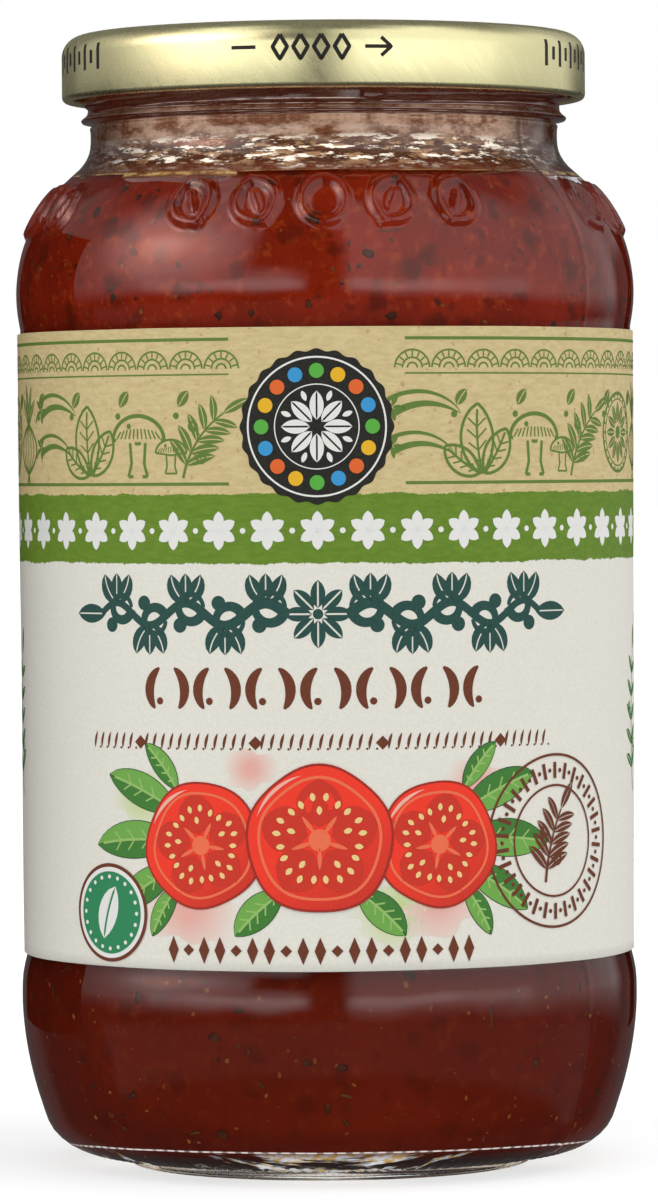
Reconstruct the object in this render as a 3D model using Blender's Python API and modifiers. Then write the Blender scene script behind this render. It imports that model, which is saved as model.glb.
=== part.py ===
"""A shut glass jar of tomato sauce: glass, the sauce in it, a wrapped paper label and a pressed metal lid.

Metres, +Z up. The origin is the middle of the foot, on the surface that the jar stands on.
The front of the label faces -Y. Outlines are given in millimetres, as radius and height.
"""
import math

import bmesh
import bpy
import numpy as np
from mathutils import Matrix, Vector

MM = 0.001
TURN_STEPS = 40
CLEARANCE = 0.3

# Glass, from the bore and rim down to the foot
BORE_RADIUS = 30.2
RIM_RADIUS = 1.4
RIM_HEIGHT = 157.0
MOUTH_RADIUS = BORE_RADIUS + 2 * RIM_RADIUS
MOUTH_STEPS = 5
BEAD_OUTLINE = [(33.05, 147.2), (33.5, 146.45), (34.0, 145.9), (33.85, 145.65), (32.35, 145.45), (32.8, 145.0)]
SHOULDER_STATIONS = [
    (32.7, 144.4), (32.68, 143.0), (32.9, 141.4), (33.9, 139.6), (35.6, 138.0), (37.3, 136.4),
    (38.9, 134.6), (40.25, 132.6), (41.3, 130.6), (42.2, 128.4), (43.0, 125.0), (43.28, 121.6),
    (43.1, 118.9), (42.75, 116.8),
]
PANEL_TOP = (42.75, 116.8)
PANEL_FOOT = (42.4, 29.5)
HEEL_STATIONS = [
    (42.4, 29.5), (42.95, 27.2), (43.15, 23.6), (42.8, 18.4), (41.9, 13.4), (40.6, 8.8),
    (39.05, 4.95), (36.3, 2.65), (33.4, 1.98), (30.1, 1.8),
]
FOOT_RADIUS = 28.1
FOOT_SIDE = (1.6, 0.4)
FOOT_FLAT = (24.6, 27.7)
PUNT_OUTLINE = [(24.2, 0.4), (23.4, 1.5), (15.0, 2.4), (0.0, 2.7)]
FLOOR_STATIONS = [(0.0, 5.7), (20.0, 5.3), (31.0, 4.9), (35.2, 5.8), (38.2, 9.2), (40.0, 15.5), (40.75, 23.0)]
INNER_PANEL = [(40.1, 30.5), (40.4, 116.0)]
INNER_SHOULDER_STATIONS = [
    (40.8, 119.6), (40.6, 124.0), (38.9, 130.3), (36.9, 133.6), (34.4, 136.4), (32.0, 138.9),
    (30.6, 141.3), (BORE_RADIUS, 144.0),
]
OUTER_SHOULDER_POINTS = 17
HEEL_POINTS = 12
INNER_POINTS = 9

# Four threads around the mouth, each rising anticlockwise seen from above
THREAD_COUNT = 4
THREAD_START = 8.0
THREAD_SWEEP = 84.0
THREAD_POINTS = 9
THREAD_RISE = 1.5
THREAD_LOW = 147.9
THREAD_RADIUS = 1.25
THREAD_CENTRE = 33.15
THREAD_END_SCALE = 0.35
THREAD_FULLNESS = 0.4

# Raised ornament on the shoulder: four groups of four leaves round a ring
GROUP_COUNT = 4
MOTIF_STEP = 13.2
MOTIF_MIDDLE = 133.1
LEAF_LENGTH = 6.4
LEAF_WIDTH = 5.4
LEAF_LEAN = 26.0
RIB_LENGTH = 2.6
RING_RADIUS = 2.9
STROKE_RADIUS = 0.95
STROKE_SINK = 0.45
STROKE_POINTS = 9
VEIN_SCALE = 0.75
SLOPE_REACH = 0.5

# Sauce, label and lid
FILL_HEIGHT = 136.5
FILL_EDGE = 0.5
LABEL_THICKNESS = 0.15
LABEL_TOP = 116.2
LABEL_FOOT = 29.7
LID_RADIUS = 36.65
LID_TOP = 157.8
LID_CORNER = 3.0
LID_SHEET = 0.45
LID_CORNER_STEPS = (5, 4)
CURL_STEPS = 6
CURL_END = 1.2
CURL_RADIUS = 0.75
CURL_HEIGHT = 149.25
LID_PANEL_OUTLINE = [(30.2, 157.8), (29.4, 157.6), (28.5, 157.1), (13.8, 157.1), (12.6, 157.25), (11.4, 157.0),
                     (6.0, 156.8), (0.0, 156.7)]
LUG_START = 100.0
LUG_SIZE = (2.5, 7.0, 0.8)
LUG_INNER = 33.8
LUG_FOOT = 150.2


def flow(stations, count):
    """Points at even spacing on the smooth curve through the stations: cubic spans that share a
    slope at each station."""
    points = np.array(stations, float)
    along = np.concatenate([[0.0], np.cumsum(np.hypot(*np.diff(points, axis=0).T))])
    slopes = np.gradient(points, along, axis=0)
    wanted = np.linspace(0.0, along[-1], count)
    span = np.clip(np.searchsorted(along, wanted, side="right") - 1, 0, len(points) - 2)
    length = (along[span + 1] - along[span])[:, None]
    t = (wanted - along[span])[:, None] / length
    start = (2 * t**3 - 3 * t**2 + 1) * points[span] + (t**3 - 2 * t**2 + t) * length * slopes[span]
    end = (3 * t**2 - 2 * t**3) * points[span + 1] + (t**3 - t**2) * length * slopes[span + 1]
    return [tuple(point) for point in start + end]


def arc(centre, radius, first, last, count):
    """Points on an arc in the outline's plane, from one angle in degrees to another."""
    return [
        (centre[0] + radius * math.cos(math.radians(a)), centre[1] + radius * math.sin(math.radians(a)))
        for a in np.linspace(first, last, count)
    ]


def inset(outline, gap):
    """The outline moved by gap towards its left side, which is the axis on a wall that climbs."""
    points = np.array(outline, float)
    slopes = np.gradient(points, axis=0)
    slopes /= np.hypot(*slopes.T)[:, None]
    moved = points + gap * np.column_stack([-slopes[:, 1], slopes[:, 0]])
    moved[:, 0] = np.maximum(moved[:, 0], 0.0)
    moved[points[:, 0] == 0.0, 0] = 0.0
    return [tuple(point) for point in moved]


def inner_wall():
    """The inside of the glass, from the middle of its floor up to the mouth."""
    return flow(FLOOR_STATIONS, INNER_POINTS) + INNER_PANEL + flow(INNER_SHOULDER_STATIONS, INNER_POINTS)


def outer_shoulder():
    """The outside of the glass, from the mouth down to the label's panel."""
    return flow(SHOULDER_STATIONS, OUTER_SHOULDER_POINTS)


def finish(name, colour, roughness, metallic=0.0, transmission=0.0):
    """A Principled material of one colour."""
    material = bpy.data.materials.new(name)
    material.use_nodes = True
    shader = material.node_tree.nodes["Principled BSDF"]
    shader.inputs["Base Color"].default_value = (*colour, 1.0)
    shader.inputs["Roughness"].default_value = roughness
    shader.inputs["Metallic"].default_value = metallic
    shader.inputs["Transmission Weight"].default_value = transmission
    return material


def new_object(name, mesh, collection, material=None):
    """An object of the mesh in the collection, with its material if it has one."""
    obj = bpy.data.objects.new(name, mesh)
    collection.objects.link(obj)
    if material:
        mesh.materials.append(material)
    return obj


def turned(name, outline, collection, material, closed=True):
    """An outline of radius and height turned round +Z with a Screw modifier."""
    shape = bmesh.new()
    rail = [shape.verts.new((radius * MM, 0.0, height * MM)) for radius, height in outline]
    for lower, upper in zip(rail, rail[1:]):
        shape.edges.new((lower, upper))
    if closed:
        shape.edges.new((rail[-1], rail[0]))
    mesh = bpy.data.meshes.new(name)
    shape.to_mesh(mesh)
    shape.free()
    obj = new_object(name, mesh, collection, material)
    turn = obj.modifiers.new("turn", "SCREW")
    turn.axis = "Z"
    turn.steps = TURN_STEPS
    turn.render_steps = TURN_STEPS
    turn.use_merge_vertices = True
    turn.merge_threshold = 0.00001
    turn.use_smooth_shade = True
    return obj


def tube(name, points, radius, collection, closed=False, scales=None, roundness=1):
    """A round bar along the points, as a mesh whose ends are shut, kept as a guide for a Boolean."""
    path = bpy.data.curves.new(name, "CURVE")
    path.dimensions = "3D"
    path.bevel_depth = radius * MM
    path.bevel_resolution = roundness
    path.use_fill_caps = True
    spline = path.splines.new("POLY")
    spline.points.add(len(points) - 1)
    for index, point in enumerate(points):
        spline.points[index].co = (*(Vector(point) * MM), 1.0)
        spline.points[index].radius = scales[index] if scales else 1.0
    spline.use_cyclic_u = closed
    curve = bpy.data.objects.new(name, path)
    collection.objects.link(curve)
    bpy.context.view_layer.update()
    evaluated = curve.evaluated_get(bpy.context.evaluated_depsgraph_get())
    mesh = bpy.data.meshes.new_from_object(evaluated)
    bar = bmesh.new()
    bar.from_mesh(mesh)
    bmesh.ops.remove_doubles(bar, verts=bar.verts, dist=0.000001)
    bmesh.ops.recalc_face_normals(bar, faces=bar.faces)
    bar.to_mesh(mesh)
    bar.free()
    bpy.data.objects.remove(curve)
    obj = new_object(name, mesh, collection)
    as_guide(obj)
    return obj


def as_guide(obj):
    """Marks an object that only serves a Boolean."""
    obj.hide_render = True
    obj.display_type = "WIRE"


def join_with(obj, collection):
    """Fuses everything in the collection to the object."""
    union = obj.modifiers.new("fuse", "BOOLEAN")
    union.operation = "UNION"
    union.operand_type = "COLLECTION"
    union.collection = collection
    union.solver = "EXACT"


def around(radius, degrees, height):
    """A point at a bearing from the front, positive towards +X."""
    bearing = math.radians(degrees)
    return (radius * math.sin(bearing), -radius * math.cos(bearing), height)


def add_threads(collection):
    """Four bars on the mouth that rise a little as they go round, thin at both ends."""
    swell = np.sin(np.linspace(0.0, math.pi, THREAD_POINTS)).clip(0.0) ** THREAD_FULLNESS
    scales = list(THREAD_END_SCALE + (1.0 - THREAD_END_SCALE) * swell)
    for thread in range(THREAD_COUNT):
        points = []
        for i in range(THREAD_POINTS):
            share = i / (THREAD_POINTS - 1)
            bearing = THREAD_START + 360.0 / THREAD_COUNT * thread + THREAD_SWEEP * share
            points.append(around(THREAD_CENTRE, bearing, THREAD_LOW + THREAD_RISE * share))
        tube(f"thread_{thread}", points, THREAD_RADIUS, collection, scales=scales)


def on_shoulder(bearing, height):
    """A point just under the shoulder's surface, as deep as a stroke is sunk."""
    outline = np.array(outer_shoulder())[::-1]
    around_height = (height - SLOPE_REACH, height, height + SLOPE_REACH)
    lower, radius, upper = np.interp(around_height, outline[:, 1], outline[:, 0])
    slope = (upper - lower) / (2 * SLOPE_REACH)
    outward = np.array([1.0, -slope]) / math.hypot(1.0, slope)
    return around(radius - STROKE_SINK * outward[0], bearing, height - STROKE_SINK * outward[1])


def shoulder_path(middle, offsets):
    """Puts sideways and upward offsets in millimetres on the shoulder, round a bearing."""
    outline = np.array(outer_shoulder())[::-1]
    radius = np.interp(MOTIF_MIDDLE, outline[:, 1], outline[:, 0])
    return [on_shoulder(middle + math.degrees(side / radius), MOTIF_MIDDLE + up) for side, up in offsets]


def leaning(side, up, lean):
    """A sideways and upward offset turned clockwise by lean degrees."""
    turn = math.radians(lean)
    return (side * math.cos(turn) + up * math.sin(turn), up * math.cos(turn) - side * math.sin(turn))


def add_ornament(collection):
    """Leaves on both sides of a ring, repeated on four sides of the shoulder."""
    round_the_leaf = np.linspace(0.0, 2 * math.pi, STROKE_POINTS)[:-1]
    leaf = [(LEAF_WIDTH / 2 * math.sin(a) * abs(math.sin(a)), LEAF_LENGTH / 2 * math.cos(a)) for a in round_the_leaf]
    rib = [(0.0, -RIB_LENGTH / 2), (0.0, RIB_LENGTH / 2)]
    ring = [(RING_RADIUS * math.cos(a), RING_RADIUS * math.sin(a)) for a in round_the_leaf]
    for group in range(GROUP_COUNT):
        front = 360.0 / GROUP_COUNT * group
        tube(f"ring_{group}", shoulder_path(front, ring), STROKE_RADIUS, collection, closed=True)
        for place in (-2, -1, 1, 2):
            lean = math.copysign(LEAF_LEAN, place)
            middle = front + MOTIF_STEP * place
            edge = shoulder_path(middle, [leaning(*point, lean) for point in leaf])
            tube(f"leaf_{group}_{place}", edge, STROKE_RADIUS, collection, closed=True)
            vein = shoulder_path(middle, [leaning(*point, lean) for point in rib])
            tube(f"vein_{group}_{place}", vein, VEIN_SCALE * STROKE_RADIUS, collection, roundness=0)


def build_glass(parts, guides):
    """The turned jar with its threads and ornament fused on."""
    outline = inner_wall()
    outline += arc((MOUTH_RADIUS - RIM_RADIUS, RIM_HEIGHT - RIM_RADIUS), RIM_RADIUS, 180.0, 0.0, MOUTH_STEPS)
    outline += BEAD_OUTLINE
    outline += outer_shoulder()
    outline += flow(HEEL_STATIONS, HEEL_POINTS)
    outline += [(FOOT_RADIUS, height) for height in FOOT_SIDE]
    outline += [(radius, 0.0) for radius in FOOT_FLAT[::-1]]
    outline += PUNT_OUTLINE
    glass = finish("clear_glass", (0.95, 0.96, 0.95), 0.02, transmission=1.0)
    jar = turned("glass_jar", outline, parts, glass, closed=False)
    raised = bpy.data.collections.new("raised_glass")
    guides.children.link(raised)
    add_threads(raised)
    add_ornament(raised)
    join_with(jar, raised)


def build_sauce(parts):
    """The sauce as a solid in the glass, cut off flat at the fill line."""
    wall = [point for point in inset(inner_wall(), CLEARANCE) if point[1] < FILL_HEIGHT - FILL_EDGE]
    beyond = [point for point in inset(inner_wall(), CLEARANCE) if point[1] >= FILL_HEIGHT]
    below, above = wall[-1], beyond[0]
    share = (FILL_HEIGHT - below[1]) / (above[1] - below[1])
    edge = (below[0] + share * (above[0] - below[0]), FILL_HEIGHT)
    outline = [(0.0, FILL_HEIGHT), edge] + wall[::-1]
    sauce = finish("tomato_sauce", (0.24, 0.03, 0.012), 0.35)
    turned("sauce", outline, parts, sauce, closed=False)


def sleeve_line(extra):
    """The label's inner face, extra millimetres further out, from top to foot."""
    drop = (PANEL_TOP[1] - LABEL_TOP) / (PANEL_TOP[1] - PANEL_FOOT[1])
    top = PANEL_TOP[0] + drop * (PANEL_FOOT[0] - PANEL_TOP[0]) + CLEARANCE + extra
    return [(top, LABEL_TOP), (PANEL_FOOT[0] + CLEARANCE + extra, LABEL_FOOT)]


def build_label(parts, guides):
    """A sleeve of paper with a second layer where its ends lap at the back."""
    paper = finish("printed_paper", (0.72, 0.66, 0.52), 0.8)
    inner, outer = sleeve_line(0.0), sleeve_line(LABEL_THICKNESS)
    turned("label", inner[::-1] + outer, parts, paper)
    laps = bpy.data.collections.new("label_lap")
    guides.children.link(laps)
    strip = turned("lap", sleeve_line(LABEL_THICKNESS / 2), laps, None, closed=False)
    strip.modifiers["turn"].angle = 2 * math.pi / TURN_STEPS
    strip.modifiers["turn"].steps = 1
    strip.modifiers["turn"].render_steps = 1
    strip.rotation_euler = (0.0, 0.0, math.radians(90.0))
    paper_layer = strip.modifiers.new("layer", "SOLIDIFY")
    paper_layer.thickness = 1.5 * LABEL_THICKNESS * MM
    paper_layer.offset = 1.0
    as_guide(strip)
    join_with(bpy.data.objects["label"], laps)


def build_lid(parts, guides):
    """The pressed cap with its rolled edge, and four lugs on the inside of the skirt."""
    centre = (LID_RADIUS - LID_CORNER, LID_TOP - LID_CORNER)
    curl = (LID_RADIUS - CURL_RADIUS, CURL_HEIGHT)
    outline = LID_PANEL_OUTLINE[::-1]
    outline += arc(centre, LID_CORNER, 90.0, 0.0, LID_CORNER_STEPS[0])
    outline += arc(curl, CURL_RADIUS, 0.0, -225.0, CURL_STEPS)
    outline += [(LID_RADIUS - LID_SHEET, CURL_HEIGHT + CURL_END)]
    outline += arc(centre, LID_CORNER - LID_SHEET, 0.0, 90.0, LID_CORNER_STEPS[1])
    outline += [(radius, height - LID_SHEET) for radius, height in LID_PANEL_OUTLINE]
    tinplate = finish("gold_lacquer", (0.62, 0.58, 0.30), 0.35, metallic=1.0)
    lid = turned("lid", outline, parts, tinplate, closed=False)
    lugs = bpy.data.collections.new("lid_lugs")
    guides.children.link(lugs)
    for index in range(THREAD_COUNT):
        bearing = math.radians(LUG_START + 360.0 / THREAD_COUNT * index)
        tab = bmesh.new()
        bmesh.ops.create_cube(tab, size=1.0, matrix=Matrix.Diagonal((*(Vector(LUG_SIZE) * MM), 1.0)))
        mesh = bpy.data.meshes.new(f"lug_{index}")
        tab.to_mesh(mesh)
        tab.free()
        lug = new_object(f"lug_{index}", mesh, lugs)
        middle = Vector((LUG_INNER + LUG_SIZE[0] / 2, 0.0, LUG_FOOT + LUG_SIZE[2] / 2)) * MM
        spin = Matrix.Rotation(bearing - math.pi / 2, 4, "Z")
        lug.matrix_world = spin @ Matrix.Translation(middle)
        as_guide(lug)
    join_with(lid, lugs)


def main():
    """Builds the pieces in one collection and the Booleans' operands in another."""
    for obj in list(bpy.data.objects):
        bpy.data.objects.remove(obj)
    parts = bpy.data.collections.new("tomato_sauce_jar")
    guides = bpy.data.collections.new("guides")
    bpy.context.scene.collection.children.link(parts)
    bpy.context.scene.collection.children.link(guides)
    build_glass(parts, guides)
    build_sauce(parts)
    build_label(parts, guides)
    build_lid(parts, guides)


main()
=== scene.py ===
"""Looks of the tomato sauce jar: glass, sauce with its herbs, wrapped label and gold lid, in studio light.

Outlines are in millimetres, as radius and height, and meshes are in metres. A bearing is in degrees
round +Z from the front of the label (-Y), positive towards +X.
"""
import math

import bmesh
import bpy
import numpy as np
from mathutils import Matrix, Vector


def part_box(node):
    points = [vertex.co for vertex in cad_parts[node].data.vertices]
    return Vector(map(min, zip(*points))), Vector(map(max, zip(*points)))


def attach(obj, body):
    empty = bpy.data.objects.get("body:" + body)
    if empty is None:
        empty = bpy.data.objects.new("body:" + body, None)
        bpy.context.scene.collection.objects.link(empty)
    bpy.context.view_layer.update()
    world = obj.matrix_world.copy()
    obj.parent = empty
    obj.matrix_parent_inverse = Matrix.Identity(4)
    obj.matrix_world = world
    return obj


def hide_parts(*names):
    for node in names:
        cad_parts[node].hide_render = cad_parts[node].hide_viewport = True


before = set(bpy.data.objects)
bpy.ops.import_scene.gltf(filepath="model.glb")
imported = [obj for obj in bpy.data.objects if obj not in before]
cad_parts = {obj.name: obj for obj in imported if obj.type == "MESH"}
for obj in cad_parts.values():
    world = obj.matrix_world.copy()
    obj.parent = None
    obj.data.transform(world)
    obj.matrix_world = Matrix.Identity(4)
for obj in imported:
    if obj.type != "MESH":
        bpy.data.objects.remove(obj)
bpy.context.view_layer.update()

# Glass jar
# Pressed and blown clear glass with a bulge above and below the label. Its shoulder carries raised
# leaves, its mouth four threads and a bead, and it stands on a ribbed ring.
MM = 0.001
BORE_RADIUS = 30.2
RIM_RADIUS = 1.4
RIM_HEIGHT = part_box("glass_jar")[1][2] / MM
MOUTH_RADIUS = BORE_RADIUS + 2 * RIM_RADIUS
MOUTH_WALL = [(MOUTH_RADIUS, 155.6), (33.05, 147.2)]
SHOULDER_STATIONS = [
    (32.7, 144.4), (32.68, 143.0), (32.9, 141.4), (33.9, 139.6), (35.6, 138.0), (37.3, 136.4),
    (38.9, 134.6), (40.25, 132.6), (41.3, 130.6), (42.2, 128.4), (43.0, 125.0), (43.28, 121.6),
    (43.1, 118.9), (42.75, 116.8),
]
PANEL = [(42.75, 116.8), (42.4, 29.5)]
HEEL_STATIONS = [
    (42.4, 29.5), (42.95, 27.2), (43.15, 23.6), (42.8, 18.4), (41.9, 13.4), (40.6, 8.8),
    (39.05, 4.95), (36.3, 2.65), (33.4, 1.98), (30.1, 1.8),
]
FOOT_OUTLINE = [
    (28.6, 1.77), (28.2, 1.7), (28.12, 1.5), (28.1, 0.35), (28.05, 0.15), (27.9, 0.04), (27.7, 0.0),
    (24.6, 0.0), (24.42, 0.04), (24.33, 0.15), (24.3, 0.35), (24.3, 1.5), (24.2, 1.75), (23.6, 1.98),
    (15.0, 2.4), (0.0, 2.7),
]
FLOOR_STATIONS = [(0.0, 5.7), (20.0, 5.3), (31.0, 4.9), (35.2, 5.8), (38.2, 9.2), (40.0, 15.5), (40.75, 23.0)]
FLOOR_ROWS = 18
INNER_PANEL = [(40.1, 30.5), (40.4, 116.0)]
INNER_SHOULDER_STATIONS = [
    (40.8, 119.6), (40.6, 124.0), (38.9, 130.3), (36.9, 133.6), (34.4, 136.4), (32.0, 138.9),
    (30.6, 141.3), (BORE_RADIUS, 144.0),
]
THREAD_COUNT = 4
THREAD_START = 8.0
THREAD_SWEEP = 84.0
THREAD_LOW = 147.9
THREAD_RISE = 1.5
THREAD_DEPTH = 1.4
THREADS_FOOT = 146.6
ORNAMENT_BAND = (128.0, 138.2)
MOTIF_STEP = 13.2
MOTIF_MIDDLE = 133.1
MOTIF_RADIUS = 39.9
LEAF_LENGTH = 6.4
LEAF_WIDTH = 5.4
LEAF_LEAN = 26.0
RIB_LENGTH = 2.6
RING_RADIUS = 2.9
STROKE_HEIGHT = 0.75
STROKE_HALF = 0.9
KNURLS = 120
KNURL_DEPTH = 0.25
KNURL_BAND = (1.75, 1.95, 2.1, 2.6)
SEAM_BEARING = 55.5
SEAM_HEIGHT = 0.09
SEAM_WIDTH = 0.7
SEAM_BAND = (3.0, 145.0)
BEAD = [(33.15, 146.8), (33.5, 146.4), (33.9, 146.1), (34.0, 145.9), (33.85, 145.65), (32.35, 145.45),
        (32.3, 145.2), (32.75, 144.95), (32.78, 144.7)]
GLASS_COLUMNS = 600


def lengths(points):
    """How far along a path each of its points lies."""
    return np.concatenate([[0.0], np.cumsum(np.hypot(*np.diff(points, axis=0).T))])


def headings(path):
    """The unit direction of a path at each of its points, from its neighbours."""
    slope = np.gradient(path, axis=0)
    return slope / np.maximum(np.hypot(*slope.T), 1e-9)[:, None]


def flow(stations, count):
    """Points at even spacing on a smooth curve through the stations: cubic spans between them that
    share a slope at each station, found from its neighbours."""
    points = np.array(stations, float)
    along = lengths(points)
    slopes = np.gradient(points, along, axis=0)
    wanted = np.linspace(0.0, along[-1], count)
    span = np.clip(np.searchsorted(along, wanted, side="right") - 1, 0, len(points) - 2)
    length = (along[span + 1] - along[span])[:, None]
    t = (wanted - along[span])[:, None] / length
    start = (2 * t**3 - 3 * t**2 + 1) * points[span] + (t**3 - 2 * t**2 + t) * length * slopes[span]
    end = (3 * t**2 - 2 * t**3) * points[span + 1] + (t**3 - t**2) * length * slopes[span + 1]
    return start + end


def arc(centre, radius, first, last, count):
    """Points at a radius from the centre, at even angles from first to last in degrees."""
    angles = np.radians(np.linspace(first, last, count))
    return np.column_stack([centre[0] + radius * np.cos(angles), centre[1] + radius * np.sin(angles)])


def at_heights(outline, heights):
    """The outline read at the given heights, by straight lines between its points."""
    order = np.argsort(outline[:, 1])
    return np.column_stack([np.interp(heights, outline[order, 1], outline[order, 0]), heights])


def smooth_step(low, high, value):
    """0 below low, 1 above high, and 3t^2 - 2t^3 between them."""
    t = np.clip((value - low) / (high - low), 0.0, 1.0)
    return t * t * (3 - 2 * t)


def wrapped(angle, radius, height):
    """Points round +Z from the front, at angles in radians."""
    return np.stack([radius * np.sin(angle), -radius * np.cos(angle), height + 0 * angle], axis=-1)


def turned(outline, columns, raised=None):
    """A grid of points round +Z: each row is a point of the outline at every bearing, moved along the
    outline's outward normal by raised(bearing, height) millimetres."""
    outline = np.asarray(outline, float)
    bearing = np.linspace(-180.0, 180.0, columns, endpoint=False)
    slope = headings(outline)
    lift = raised(bearing[None, :], outline[:, 1:]) if raised else np.zeros((len(outline), columns))
    radius = outline[:, :1] - slope[:, 1:] * lift
    height = outline[:, 1:] + slope[:, :1] * lift
    return wrapped(np.radians(bearing)[None, :], radius, height)[None]


def woven(name, grids, wrap=True, colours=None, outward=False):
    """A smooth mesh of grids of points, each copies x rows x columns x 3 in millimetres: every four
    neighbours make a face, and with wrap the last column joins the first. Points that meet are merged,
    which closes poles. With outward, a face that looks at the axis is turned round."""
    places, cells, tints, first = [], [], [], 0
    for number, grid in enumerate(grids):
        copies, rows, columns = grid.shape[:3]
        index = first + np.arange(copies * rows * columns).reshape(copies, rows, columns)
        beside = np.roll(index, -1, axis=2)
        keep = slice(None) if wrap else slice(0, -1)
        near, far = index[:, :, keep], beside[:, :, keep]
        cells.append(np.stack([near[:, :-1], near[:, 1:], far[:, 1:], far[:, :-1]], axis=-1).reshape(-1, 4))
        places.append(grid.reshape(-1, 3))
        if colours:
            tints.append(colours[number].reshape(-1, 3))
        first += index.size
    places, cells = np.concatenate(places) * MM, np.concatenate(cells)
    if outward:
        corners = places[cells]
        normal = np.cross(corners[:, 2] - corners[:, 0], corners[:, 3] - corners[:, 1])
        inward = (normal * corners.mean(axis=1) * (1, 1, 0)).sum(axis=1) < 0
        cells[inward] = cells[inward, ::-1]
    mesh = bpy.data.meshes.new(name)
    mesh.from_pydata(places.tolist(), [], cells.tolist())
    if colours:
        tint = mesh.attributes.new("ink", "FLOAT_COLOR", "POINT")
        rgba = np.column_stack([np.concatenate(tints), np.ones(first)])
        tint.data.foreach_set("color", rgba.ravel())
    shape = bmesh.new()
    shape.from_mesh(mesh)
    bmesh.ops.remove_doubles(shape, verts=shape.verts, dist=1e-7)
    shape.to_mesh(mesh)
    shape.free()
    mesh.shade_smooth()
    return mesh


def linked(name, grids, material, **weave):
    """An object woven from grids, in one material."""
    mesh = woven(name, grids, **weave)
    mesh.materials.append(material)
    made = bpy.data.objects.new(name, mesh)
    bpy.context.scene.collection.objects.link(made)
    return made


def placed(name, grids, material, slot, replaced=None, **weave):
    """A piece of the jar, riding on the one body."""
    piece = linked(name, grids, material, **weave)
    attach(piece, "root")
    if replaced:
        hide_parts(replaced)


def inner_wall():
    """The inside of the glass from the middle of its floor up to the mouth."""
    return np.concatenate([flow(FLOOR_STATIONS, FLOOR_ROWS), INNER_PANEL, flow(INNER_SHOULDER_STATIONS, 18)])


def stroke(distance):
    """How high a raised stroke stands at a distance from its middle line: flat top, soft sides."""
    return STROKE_HEIGHT * (1 - smooth_step(0.15 * STROKE_HALF, 1.2 * STROKE_HALF, np.abs(distance)))


def shoulder_ornament(bearing, height):
    """Leaves and rings in relief, in four groups of five places. A leaf's edge is where
    |x| = w(1 - (2y/l)^2), a ring's where the distance from its middle is its radius."""
    group = (bearing + 45.0) % 90.0 - 45.0
    place = np.clip(np.round(group / MOTIF_STEP), -2, 2)
    side = np.radians(group - place * MOTIF_STEP) * MOTIF_RADIUS
    up = height - MOTIF_MIDDLE
    lean = np.radians(LEAF_LEAN) * np.sign(place)
    x = side * np.cos(lean) - up * np.sin(lean)
    y = side * np.sin(lean) + up * np.cos(lean)
    share = 2 * y / LEAF_LENGTH
    edge = LEAF_WIDTH / 2 * (1 - share**2)
    steep = 4 * LEAF_WIDTH / LEAF_LENGTH**2 * y
    leaf = (np.abs(x) - edge) / np.sqrt(1 + steep**2)
    tip = np.hypot(x, np.abs(y) - LEAF_LENGTH / 2)
    leaf = np.where(np.abs(share) > 1, tip, leaf)
    rib = np.hypot(x, np.maximum(np.abs(y) - RIB_LENGTH / 2, 0.0))
    leaves = np.maximum(stroke(leaf), 0.8 * stroke(1.3 * rib))
    ring = stroke(np.hypot(side, up) - RING_RADIUS)
    return np.where(place == 0, ring, leaves)


def threads(bearing, height):
    """Four ridges on the mouth, each with a steep lower flank and a long upper one, that rise as they
    go round and fade at both ends."""
    share = ((bearing - THREAD_START) % (360.0 / THREAD_COUNT)) / THREAD_SWEEP
    above = height - (THREAD_LOW + THREAD_RISE * share)
    ridge = smooth_step(-1.2, -0.75, above) * (1 - smooth_step(-0.1, 1.7, above))
    fade = smooth_step(0.0, 0.1, share) * (1 - smooth_step(0.86, 1.0, share))
    return THREAD_DEPTH * ridge * fade


def glass_relief(bearing, height):
    """What stands out of the outer wall at a bearing and height: threads, ornament, foot ribs as a
    sine round the ring, and the two mould seams as bell curves."""
    on_mouth = (height > THREADS_FOOT) & (height < RIM_HEIGHT - RIM_RADIUS)
    on_shoulder = (height > ORNAMENT_BAND[0]) & (height < ORNAMENT_BAND[1])
    on_ring = smooth_step(*KNURL_BAND[:2], height) * (1 - smooth_step(*KNURL_BAND[2:], height))
    ribs = KNURL_DEPTH * on_ring * (0.5 + 0.5 * np.sin(np.radians(KNURLS * bearing)))
    from_seam = (bearing - SEAM_BEARING + 90.0) % 180.0 - 90.0
    seams = SEAM_HEIGHT * np.exp(-((from_seam / SEAM_WIDTH) ** 2))
    seams = seams * (height > SEAM_BAND[0]) * (height < SEAM_BAND[1])
    on_neck = np.where(on_mouth, threads(bearing, height), 0.0)
    return on_neck + np.where(on_shoulder, shoulder_ornament(bearing, height), 0.0) + (ribs + seams)


# Rows of points on the outer wall, closest together where threads and ornament stand out
shoulder = flow(SHOULDER_STATIONS, 300)
shoulder_heights = np.concatenate([np.linspace(144.4, 138.4, 9), np.linspace(138.1, 128.1, 33),
                                   np.linspace(127.3, 116.8, 11)])
mouth_heights = np.concatenate([np.linspace(155.4, 150.6, 4), np.linspace(150.3, 147.2, 12)])
outer_wall = np.concatenate([
    at_heights(np.array(MOUTH_WALL), mouth_heights),
    BEAD,
    at_heights(shoulder, shoulder_heights),
    [(42.6, 75.0)],
    flow(HEEL_STATIONS, 26),
    FOOT_OUTLINE,
])
glass_inside = turned(inner_wall(), GLASS_COLUMNS)
rim_middle = (MOUTH_RADIUS - RIM_RADIUS, RIM_HEIGHT - RIM_RADIUS)
glass_rim = turned(arc(rim_middle, RIM_RADIUS, 180.0, 0.0, 6), GLASS_COLUMNS)
glass_outside = turned(outer_wall, GLASS_COLUMNS, glass_relief)


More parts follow.
